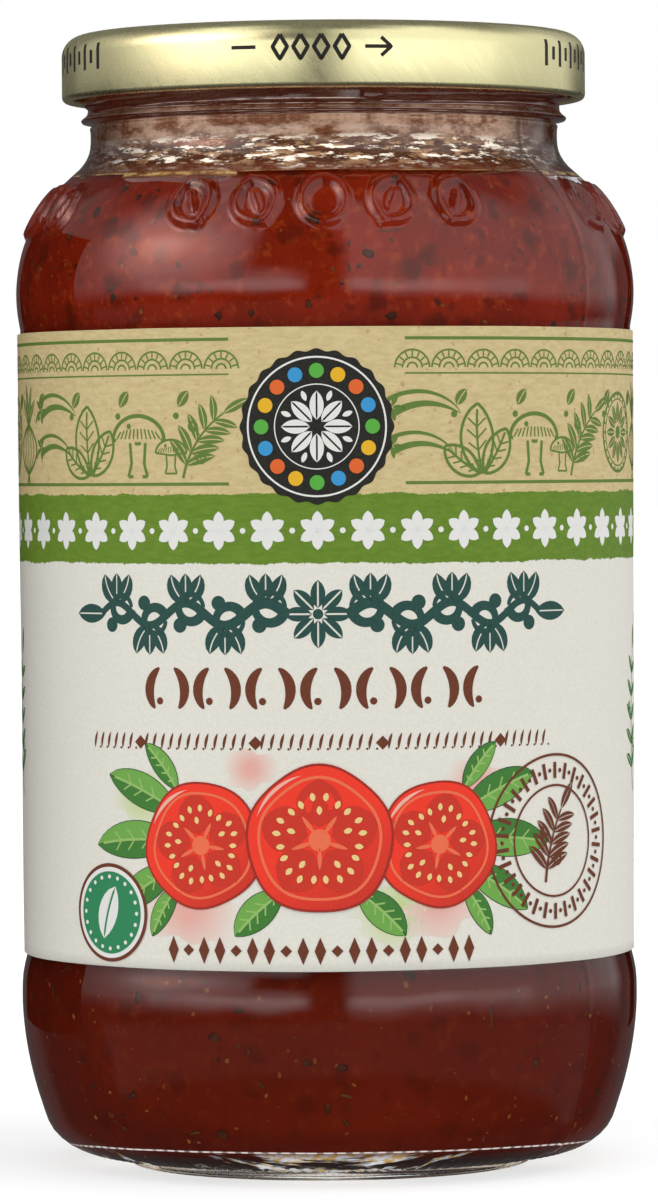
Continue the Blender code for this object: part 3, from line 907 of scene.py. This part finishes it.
for number in range(STAMP_COUNT):
    middle = FRONT_MIDDLE + STAMP_STEP * (number - (STAMP_COUNT - 1) / 2)
    if abs(middle - FRONT_MIDDLE) > MEDALLION_ROOM:
        printed(band_stamps[number % len(band_stamps)], OLIVE_INK, (middle, 0.0))
    between = middle + STAMP_STEP / 2
    if MEDALLION_ROOM + 1.0 < abs(between - FRONT_MIDDLE) < ROUND_LABEL / 2 - 3.0:
        printed(moved(leaf(2.6, 1.5, 20.0, 0.2), turn=25.0), OLIVE_INK, (between, 105.6), 2)
        printed(dot(0.45), OLIVE_INK, (between - 0.4, 104.4), 2)
FAN_COUNT = 52
FAN_HEIGHT = 110.6
for number in range(FAN_COUNT):
    aside = ROUND_LABEL * (number + 0.5) / FAN_COUNT - ROUND_LABEL / 2
    if abs(aside) > MEDALLION_ROOM - 1.5:
        printed(fan(), OLIVE_INK, (FRONT_MIDDLE + aside, FAN_HEIGHT))
for first, last in ((LAP_WIDTH - ROUND_LABEL / 2, FRONT_MIDDLE - 12.0),
                    (FRONT_MIDDLE + 12.0, ROUND_LABEL / 2 - 1.0)):
    for z, width in BAND_RULES:
        printed(rule(first, last, z, width), OLIVE_INK)

# The medallion: a scalloped dark disc with a white flower and a ring of coloured dots
printed([disc(10.3, 0.0, 8, 192, [(0.018, 24, 0.0)])], BLACK_INK, MEDALLION, 2)
printed([disc(9.45, 9.2, 2, 96), disc(5.75, 5.6, 2, 96)], WHITE_INK, MEDALLION, 3)
petals = around(leaf(3.9, 1.9, 0.0, 0.25), 8, 0.9) + around(leaf(1.5, 0.7), 8, 3.7, 22.5)
printed(petals, WHITE_INK, MEDALLION, 3)
dots = [(0.09, 0.42, 0.05), (0.80, 0.45, 0.015), (0.75, 0.13, 0.02), (0.035, 0.30, 0.62)]
for number, colour in enumerate(dots):
    printed(around(dot(1.0, 24), 4, 7.5, 22.5 * number), colour, MEDALLION, 3)

# White flowers on the green band, all round, with a dot between each two
FLOWER_STEP = ROUND_LABEL / 40
FLOWER_HEIGHT = 88.9
flower = around(leaf(2.5, 1.5), 6, 0.12) + dot(0.35)
for number in range(40):
    middle = FRONT_MIDDLE + FLOWER_STEP * (number - 19)
    if middle > LAP_WIDTH + 2.0 - ROUND_LABEL / 2:
        printed(flower, WHITE_INK, (middle, FLOWER_HEIGHT))
        printed(dot(0.4), WHITE_INK, (middle + FLOWER_STEP / 2, FLOWER_HEIGHT))

# A leafy scroll: a wave with curls and leaves on both sides of a middle flower
SCROLL_MIDDLE = (FRONT_MIDDLE, 77.7)
for side in (-1, 1):
    t = np.linspace(0, 1, 121)
    wave = np.column_stack([4.2 + 28.6 * t, 1.5 * np.sin(2 * np.pi * 2.5 * t)])
    scroll = [ribbon(wave, 1.5 * (1 - 0.4 * t))]
    for number in range(5):
        up = 1 if number % 2 == 0 else -1
        root = wave[12 + 24 * number]
        outward_turn = 90.0 - 90.0 * up
        for turning in (up, -up):
            scroll += moved(leaf(4.6, 2.3, 50.0 * turning, 0.2), root, outward_turn - 55.0 * turning)
        scroll += moved(leaf(3.6, 2.0, 0.0, 0.2), root + (0.0, 0.4 * up), outward_turn)
        curl = ribbon(bent(12.5 - 0.6 * number, -350.0 * up, 37), np.linspace(1.5, 0.55, 37))
        scroll += moved([curl], root - (2.6, 0.9 * up), outward_turn + 172.0 * up)
        scroll += moved(dot(1.0, 20), root - (-0.9, 3.0 * up))
    scroll += moved(leaf(5.8, 2.6, 0.0, 0.2), (32.0, 0.0), 90.0)
    printed([part * (side, 1) for part in scroll], TEAL_INK, SCROLL_MIDDLE)
printed(around(leaf(3.8, 2.0, 0.0, 0.25), 8, 0.8) + dot(0.7, 20), TEAL_INK, SCROLL_MIDDLE)

# A row of brown brush strokes, then a rope border and a row of lozenges at the foot
BRUSH_HEIGHT = 65.0
ROPE_HEIGHT = 59.5
LOZENGE_HEIGHT = 32.5


def row(count, first, step):
    """The numbers and places of a row of marks, from the first one at even steps."""
    return [(number, FRONT_MIDDLE + first + step * number) for number in range(count)]


for number, place in row(13, -23.4, 3.75):
    turning = -1 if number % 2 else 1
    stroke_path = moved([bent(6.2, 95.0 * turning, 13)], turn=-40.0 * turning)[0]
    thickness = 0.3 + 1.15 * np.sin(np.pi * np.linspace(0, 1, 13)) ** 0.7
    printed([ribbon(stroke_path, thickness)], BROWN_INK, (place, BRUSH_HEIGHT))
    printed(dot(0.5, 16), BROWN_INK, (place + 0.8, BRUSH_HEIGHT + 1.0 + 2.2 * (number % 2)))
for number, place in row(52, -33.8, 1.325):
    if number % 13 == 6:
        printed(dot(0.95, 4), BROWN_INK, (place, ROPE_HEIGHT + 0.9))
    else:
        printed(leaf(2.3, 0.42, 25.0), BROWN_INK, (place - 0.5, ROPE_HEIGHT))
        printed(dot(0.17, 8), BROWN_INK, (place + 0.55, ROPE_HEIGHT + 0.1))
for number, place in row(19, -20.7, 2.3):
    lozenge = disc(0.8, 0.0, 2, 4) if number % 3 == 1 else disc(1.85, 0.0, 2, 4) * (0.42, 1.0)
    printed([lozenge], BROWN_INK, (place, LOZENGE_HEIGHT), 3)


# The picture: cut tomatoes with leaves and washes of colour
SEED_PLACES = [(-0.22, 0.30, -26), (-0.08, 0.40, -9), (0.08, 0.40, 9), (0.22, 0.30, 26), (0.0, 0.22, 0)]


def soft_edge(middle, radius):
    """The share of paper at a point of a wash, which grows towards its rim."""
    def share(part):
        away = np.hypot(part[..., 0] - middle[0], part[..., 1] - middle[1]) / radius
        return np.clip(away * 1.1 - 0.25, 0.0, 1.0), PAPER_TINT
    return share


def cut_tomato(middle, radius, first_turn, layer):
    """Skin, flesh, five chambers with seeds round a pale heart, and light on the upper left."""
    def lit(part):
        """The share of the skin's ink at a point, which grows towards the lower right."""
        across = ((part[..., 0] - middle[0]) * 0.5 - (part[..., 1] - middle[1]) * 0.8) / radius
        return np.clip(across * 0.55, 0.0, 0.5), SKIN_INK
    uneven = [(0.02, 5, first_turn), (0.012, 3, 0.0)]
    printed([disc(radius, 0.0, 10, 72, uneven)], SKIN_INK, middle, layer)
    printed([disc(radius * 0.965, 0.0, 10, 72, uneven)], TOMATO_INK, middle, layer + 1, lit)
    printed([disc(radius * 0.84, radius * 0.80, 2, 72, uneven)], FLESH_INK, middle, layer + 2)
    chamber = leaf(radius * 0.66, radius * 0.62)
    printed(around(chamber, 5, radius * 0.17, first_turn), (0.62, 0.028, 0.012), middle, layer + 2)
    pips = []
    for x, z, turn in SEED_PLACES:
        pips += moved(leaf(radius * 0.12, radius * 0.075), (radius * x, radius * z), turn)
    printed(around(pips, 5, radius * 0.12, first_turn), SEED_INK, middle, layer + 3)
    heart = [disc(radius * 0.15, 0.0, 3, 24)]
    heart += around(leaf(radius * 0.3, radius * 0.06), 5, radius * 0.1, first_turn + 36.0)
    printed(heart, FLESH_INK, middle, layer + 3)
    upper_left = radius * 0.9 * clock(np.linspace(-70, -15, 13))
    gleam = ribbon(upper_left, 0.5 * np.sin(np.linspace(0, np.pi, 13)))
    printed([gleam], (0.88, 0.45, 0.36), middle, layer + 3)


def veined_leaf(length, width, bend, at, turn, layer):
    """A painted leaf: a dark edge, a dark and a light half, and light veins."""
    path = bent(length, bend, 13)
    half = leaf_half(width, len(path))
    veins = drawn_leaf(length, width * 0.92, bend)[2:]
    for parts, colour, lift in (([band(path, half + 0.12, half + 0.12)], LEAF_EDGE_INK, 0),
                                ([band(path, half, -0.06)], LEAF_INK, 1),
                                ([band(path, -0.06, half)], LIGHT_LEAF_INK, 1), (veins, VEIN_INK, 2)):
        printed(moved(parts, turn=turn), colour, at, layer + lift)


FAN_OF_LEAVES = [(58, 12.5, 51.0), (84, 14.0, 47.0), (112, 12.0, 43.5), (30, 8.0, 54.0), (140, 8.0, 41.0)]
washes = [(-19.5, 38.0, 6.0, PINK_WASH), (15.0, 39.5, 6.2, PINK_WASH), (-27.0, 53.0, 4.2, GREEN_WASH),
          (9.0, 37.6, 5.0, GREEN_WASH), (-10.5, 57.0, 3.2, PINK_WASH), (21.0, 54.5, 4.0, PINK_WASH)]
for x, z, reach, colour in washes:
    blot = disc(reach, 0.0, 8, 72, [(0.14, 3, x), (0.09, 8, z)])
    printed([blot * (1.25, 0.8)], colour, (x, z), 1, soft_edge((x, z), reach * 1.1))
for side in (-1, 1):
    for turn, reach, lift in FAN_OF_LEAVES:
        veined_leaf(reach, reach * 0.36, 18.0 * side, (FRONT_MIDDLE + side * 20.0, lift), turn * side, 2)
    veined_leaf(9.0, 4.2, 15.0 * side, (FRONT_MIDDLE + side * 5.0, 40.5), 125.0 * side, 2)
    cut_tomato((FRONT_MIDDLE + side * 16.4, 46.6), 8.6, 10.0 * side, 5)
cut_tomato((FRONT_MIDDLE, 47.4), 10.0, 0.0, 9)

# The round badge at the left and the ring stamp at the right
BADGE = (-32.8, 37.1)
for layer, radius, colour in ((5, 6.7, BROWN_INK), (6, 6.2, WHITE_INK), (7, 5.6, (0.02, 0.24, 0.095))):
    printed([disc(radius, 0.0, 6, 72)], colour, BADGE, layer)
printed(moved(leaf(7.6, 3.6, 20.0, 0.35), turn=8.0), WHITE_INK, (-34.0, 33.5), 8)
printed(around(dot(0.28, 12), 20, 4.9), WHITE_INK, BADGE, 8)
STAMP = (34.3, 46.4)
printed([disc(11.9, 11.55, 2, 96), disc(7.7, 7.4, 2, 96)], BROWN_INK, STAMP, 5)
ring_bars = around([ribbon([(0.0, -1.1), (0.0, 1.1)], 0.55)], 30, 9.6)
ring_dots = around(dot(0.3, 10), 30, 9.6, 6.0)
printed(ring_bars + ring_dots, BROWN_INK, STAMP, 5)
printed(moved(olive_sprig(11.0, 25.0), turn=5.0, size=0.95), BROWN_INK, (32.4, 40.8), 5)

# The back: a ruled panel of plain bars, and a sprig on each side of it
PANEL_MIDDLE = ROUND_LABEL * 0.30
for side in (-1, 1):
    for number in range(11):
        width = 30.0 if number % 3 else 22.0
        start = side * PANEL_MIDDLE - 16.0
        printed(rule(start, start + width, 76.0 - 3.4 * number, 0.35 if number else 1.4), BROWN_INK)
    for size, share, z in ((1.2, 0.42, 36.0), (0.9, 0.225, 52.0)):
        sprig = moved(olive_sprig(22.0, 30.0), turn=-15.0, size=size)
        printed(sprig, LEAF_INK, (side * ROUND_LABEL * share, z))


def printing_ink():
    """Ink in its own colour, a little worn where the paper's tooth stands up."""
    material, wire, place = new_material("printing_ink")
    ink = wire.add("ShaderNodeAttribute", {"attribute_name": "ink"})
    tooth = wire.noise(place, 2600.0, 2.0, 0.6)
    colour = wire.blend(0.04 * tooth, ink, PAPER_TINT)
    return surfaced(material, wire, {
        "Base Color": colour, "Roughness": 0.5 + 0.15 * tooth, "Specular IOR Level": 0.12,
        "Normal": wire.bump(tooth, 0.00003),
    })


placed("label_print", sheets, printing_ink(), "printed_paper", wrap=False, colours=tints, outward=True)

# Metal lid
# A pressed tinplate lug cap with a rolled edge, lacquered pale gold and finely brushed. Its rim
# stands up round a sunk panel with a safety button.
LID_RADIUS = 36.65
LID_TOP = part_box("lid")[1][2] / MM
LID_CORNER = 3.0
LID_SHEET = 0.45
CURL_RADIUS = 0.75
CURL_HEIGHT = 149.25
LUG_START = 100.0
LUG_SIZE = (2.5, 7.0, 0.8)
LUG_INNER = 33.8
LUG_FOOT = 150.2
LID_COLUMNS = 360
LID_PANEL_STATIONS = [(0.0, 156.7), (6.0, 156.8), (11.4, 157.0), (12.6, 157.25), (13.8, 157.1), (20.0, 157.1),
                      (28.2, 157.1), (28.9, 157.3), (29.5, 157.65), (30.4, 157.8)]


def lid_shape():
    """From the middle of the top out over the rim, down the skirt, round the curl and back inside."""
    centre = (LID_RADIUS - LID_CORNER, LID_TOP - LID_CORNER)
    curl = (LID_RADIUS - CURL_RADIUS, CURL_HEIGHT)
    panel = flow(LID_PANEL_STATIONS, 60)
    panel[0, 0] = 0.0
    inside = panel[::-1] - (0.0, LID_SHEET)
    return np.concatenate([
        panel, arc(centre, LID_CORNER, 90.0, 0.0, 14), arc(curl, CURL_RADIUS, 0.0, -225.0, 14),
        [(LID_RADIUS - LID_SHEET, CURL_HEIGHT + 1.2)],
        arc(centre, LID_CORNER - LID_SHEET, 0.0, 90.0, 8), inside,
    ])


def lug(bearing):
    """A tab under the skirt as a grid: its outline, with rounded edges, carried across its width."""
    reach, width, thick = LUG_SIZE
    angle = np.linspace(0.0, 2 * np.pi, 17)[:-1]
    rounded = np.sign(np.column_stack([np.cos(angle), np.sin(angle)]))
    rounded *= np.abs(np.column_stack([np.cos(angle), np.sin(angle)])) ** 0.4
    across = np.array([-0.5, -0.5, -0.46, 0.46, 0.5, 0.5]) * width
    scale = np.array([0.0, 0.9, 1.0, 1.0, 0.9, 0.0])[:, None]
    out = LUG_INNER + reach / 2 * (1 + scale * rounded[:, 0])
    up = LUG_FOOT + thick / 2 * (1 + scale * rounded[:, 1])
    turn = math.radians(bearing)
    sideways = across[:, None] + 0 * out
    return np.stack([out * math.sin(turn) + sideways * math.cos(turn),
                     sideways * math.sin(turn) - out * math.cos(turn), up], axis=-1)[None]


def gold_lacquer():
    """Pale gold over tin: fine slanting scratches and a slow change of tone."""
    material, wire, place = new_material("gold_lacquer")
    slant = wire.add("ShaderNodeMapping", {"vector_type": "TEXTURE"}, {
        "Vector": place, "Rotation": (0.5, 0.8, 0.3), "Scale": (14.0, 1.0, 1.0)})
    scratches = wire.noise(slant, 900.0, 3.0, 0.6)
    tone = wire.noise(place, 40.0, 2.0)
    colour = wire.blend(tone, (0.93, 0.865, 0.48), (0.98, 0.92, 0.52))
    return surfaced(material, wire, {
        "Base Color": colour, "Metallic": 0.95, "Roughness": 0.20 + 0.16 * scratches,
        "Normal": wire.bump(scratches, 0.000012),
    })


lugs = [lug(LUG_START + 360.0 / THREAD_COUNT * number) for number in range(THREAD_COUNT)]
placed("lid_cap", [turned(lid_shape(), LID_COLUMNS)] + lugs, gold_lacquer(), "gold_lacquer", "lid")

# Lid marks
# Dark turning marks screened on the skirt: a dash, four upright lozenges and an arrow at the front and
# back, and a row of bars on each side.
MARK_STAND = 0.03
MARK_MIDDLE = 154.0
MARK_TALL = 3.6
lid_sheets = []


def on_skirt(x, z):
    """Points on the lid's skirt and rounded corner: x millimetres round it and z up."""
    up = np.clip(z - (LID_TOP - LID_CORNER), 0.0, LID_CORNER - 0.2)
    radius = LID_RADIUS - LID_CORNER + np.sqrt(LID_CORNER**2 - up**2) + MARK_STAND
    return wrapped(x / LID_RADIUS, radius, z + MARK_STAND * up / LID_CORNER)


def marked(parts):
    """Lays the parts on the lid's skirt."""
    for part in parts:
        lid_sheets.append(on_skirt(part[..., 0], part[..., 1])[None])


def fine(points, pace=0.35):
    """The path through the points with a point at least every pace millimetres."""
    points = np.asarray(points, float)
    along = lengths(points)
    wanted = np.union1d(along, np.linspace(0.0, along[-1], int(along[-1] / pace) + 2))
    return np.column_stack([np.interp(wanted, along, points[:, axis]) for axis in range(2)])


def mark_group(middle):
    """A dash, four upright hollow lozenges and an arrow that points to the right."""
    half = MARK_TALL / 2
    parts = [ribbon(fine([(-12.9, 0.0), (-9.5, 0.0)]), 0.5), ribbon(fine([(5.4, 0.0), (8.9, 0.0)]), 0.5)]
    parts.append(ribbon(fine([(7.6, 1.25), (9.0, 0.0), (7.6, -1.25)]), 0.5))
    for number in range(4):
        corners = np.array([(0.0, 0.92), (1.0, 0.0), (0.0, -0.92), (-1.0, 0.0), (0.0, 0.92)]) * (1.0, half)
        parts.append(ribbon(fine(corners + np.array([-6.15 + 2.8 * number, 0.0])), 0.55))
    return moved(parts, (middle, MARK_MIDDLE))


def bar_row(middle):
    """Nine upright bars, tall and short in turn."""
    parts = []
    for number in range(9):
        reach = MARK_TALL / 2 * (1.0 if number % 2 == 0 else 0.5)
        place = 1.95 * (number - 4)
        parts.append(ribbon(fine([(place, -reach), (place, reach)]), 0.7))
    return moved(parts, (middle, MARK_MIDDLE))


LID_ROUND = 2 * math.pi * LID_RADIUS
MARK_SHIFT = 0.3
for turn in (0.0, 0.5):
    marked(mark_group(MARK_SHIFT + turn * LID_ROUND))
for turn in (-0.195, 0.19, -0.31, 0.31):
    marked(bar_row(MARK_SHIFT + turn * LID_ROUND))


def dark_ink():
    """Nearly black screen ink, slightly uneven over the brushed lacquer."""
    material, wire, place = new_material("dark_ink")
    uneven = wire.noise(place, 900.0, 3.0, 0.6)
    colour = wire.blend(uneven, (0.012, 0.010, 0.007), (0.022, 0.018, 0.012))
    return surfaced(material, wire, {
        "Base Color": colour, "Roughness": 0.4 + 0.1 * uneven, "Specular IOR Level": 0.3,
    })


placed("lid_marks", lid_sheets, dark_ink(), "gold_lacquer", wrap=False, outward=True)

# Floor
# A plain pale sheet under the jar, wide enough to reach the horizon. It stays out of reflections and
# throws no light back on the jar.
FLOOR_HALF = 12000.0
FLOOR_DROP = 0.02


def pale_floor():
    """Grey to lamps and to what stands on it, and evenly lit to the camera."""
    material, wire, _ = new_material("pale_floor")
    return surfaced(material, wire, {
        "Base Color": (0.35, 0.35, 0.35), "Roughness": 0.8, "Specular IOR Level": 0.0,
        "Emission Color": (1.0, 1.0, 1.0), "Emission Strength": 0.68,
    })


corners = FLOOR_HALF * np.array([[(-1.0, 1.0, 0.0), (1.0, 1.0, 0.0)], [(-1.0, -1.0, 0.0), (1.0, -1.0, 0.0)]])
floor = linked("floor", [corners[None] - (0.0, 0.0, FLOOR_DROP)], pale_floor(), wrap=False)
floor.visible_glossy = False
floor.visible_diffuse = False

# Studio
# Even soft light from all round, and white behind. What gloss reflects is two tall soft boxes with a
# dark gap between them, a bright patch in the left one, a row near the horizon and boxes overhead.
AMBIENT_ABOVE = 1.38
AMBIENT_BELOW = 0.52
CARD_HEIGHTS = (12.0, 149.0)


def studio_world():
    """The light from a direction, by its bearing and rise in degrees: each soft box is a product of
    soft steps, the bright patch a bell curve."""
    world = bpy.data.worlds.new("studio")
    world.use_nodes = True
    world.node_tree.nodes.clear()
    wire = Wire(world.node_tree)
    direction = wire.add("ShaderNodeTexCoord", output="Generated")
    x, y, z = (direction.axis(number) for number in range(3))
    bearing = wire.maths("ARCTAN2", x, 0 - y) * (180 / math.pi)
    rise = wire.maths("ARCSINE", z) * (180 / math.pi)

    def box(left, right, low, high, soft):
        """1 inside a span of bearing and of rise, with edges that many degrees soft each way."""
        return (bearing.step(left - soft, left + soft) * (1 - bearing.step(right - soft, right + soft))
                * rise.step(low - soft, low + soft) * (1 - rise.step(high - soft, high + soft)))

    far_and_high = (1 - box(-100.0, 100.0, -90.0, 90.0, 12.0)) * rise.step(30.0, 48.0)
    left_fade = (0.30 + 0.68 * bearing.step(-118.0, -58.0)) * (1 - 0.8 * far_and_high)
    left_box = (box(-138.0, -30.0, -1.0, 64.0, 5.0) + box(-30.0, -10.0, -1.0, 13.0, 5.0)) * left_fade
    right_fade = (0.66 + 0.32 * (1 - bearing.step(62.0, 118.0))) * (1 - 0.8 * far_and_high)
    right_box = box(7.0, 138.0, -4.0, 64.0, 5.0) * right_fade
    level = 0.58 * (box(-70.0, -9.0, -1.0, 7.0, 3.0) + box(6.5, 80.0, -1.0, 7.0, 3.0))
    level = level + 0.45 * (box(-54.0, -8.0, -1.0, 7.0, 3.0) + box(8.0, 50.0, -1.0, 7.0, 3.0))
    rim = 0.26 * box(138.0, 160.0, 9.0, 40.0, 3.0)
    rear = 0.05 * (1 - box(-140.0, 140.0, -90.0, 90.0, 5.0))
    overhead = 0.9 * (box(-112.0, -62.0, 60.0, 76.0, 4.0) + 0.7 * box(60.0, 112.0, 60.0, 76.0, 4.0))
    low_patches = 0.10 * box(-95.0, 120.0, -26.0, -8.0, 2.0)
    patch = wire.maths("EXPONENT", 0 - ((bearing + 66.0) / 18.0) ** 2.0 - ((rise - 28.0) / 13.0) ** 2.0)
    shown = 0.03 + left_box + right_box + level + rim + rear + overhead + low_patches + patch * 7.0
    even = AMBIENT_BELOW + (AMBIENT_ABOVE - AMBIENT_BELOW) * rise.step(-12.0, 12.0)
    in_gloss = wire.ray("Glossy")
    behind = wire.maths("MAXIMUM", wire.ray("Camera"), wire.ray("Transmission"))
    light = shown * in_gloss + even * (1 - in_gloss)
    strength = light * (1 - behind) + behind
    tint = wire.blend(patch.step(0.05, 0.5) * in_gloss * (1 - behind), (1.0, 1.0, 1.0), (1.0, 0.60, 0.52))
    shader = wire.add("ShaderNodeBackground", {}, {"Color": tint, "Strength": strength})
    out = world.node_tree.nodes.new("ShaderNodeOutputWorld")
    world.node_tree.links.new(shader.socket, out.inputs["Surface"])
    return world


def flag(name, x, first_y, last_y):
    """A black card beside the jar, hidden from the camera, that darkens the jar's edge on its side."""
    low, high = CARD_HEIGHTS
    corners = np.array([[(x, first_y, low), (x, last_y, low)], [(x, first_y, high), (x, last_y, high)]])
    material, wire, _ = new_material(name)
    black = wire.add("ShaderNodeBsdfDiffuse", {}, {"Color": (0.004, 0.004, 0.004)})
    card = linked(name, [corners[None]], finish_with(material, black), wrap=False)
    card.visible_camera = False
    card.visible_shadow = True
    card.visible_transmission = False


flag("left_flag", -74.0, -14.0, 70.0)
flag("right_flag", 66.0, 38.0, 72.0)
bpy.context.scene.world = studio_world()
bpy.context.scene.view_settings.view_transform = "Standard"
bpy.context.scene.view_settings.look = "None"

# Camera
# A long lens almost level with the middle of the jar, as in the photograph. It stands 0.9 m away and
# looks down by about a degree.
CAMERA_DISTANCE = 0.911
CAMERA_HEIGHT = 0.09795
CAMERA_SIDE = 0.00028
CAMERA_DOWN = 1.2124
CAMERA_ROLL = -0.4
LENS = 194.62

camera_data = bpy.data.cameras.new("camera")
camera_data.lens = LENS
camera_data.clip_start = 0.01
camera = bpy.data.objects.new("camera", camera_data)
bpy.context.scene.collection.objects.link(camera)
camera.matrix_world = (Matrix.Translation((CAMERA_SIDE, -CAMERA_DISTANCE, CAMERA_HEIGHT))
                       @ Matrix.Rotation(math.radians(90.0 - CAMERA_DOWN), 4, "X")
                       @ Matrix.Rotation(math.radians(CAMERA_ROLL), 4, "Z"))
bpy.context.scene.camera = camera
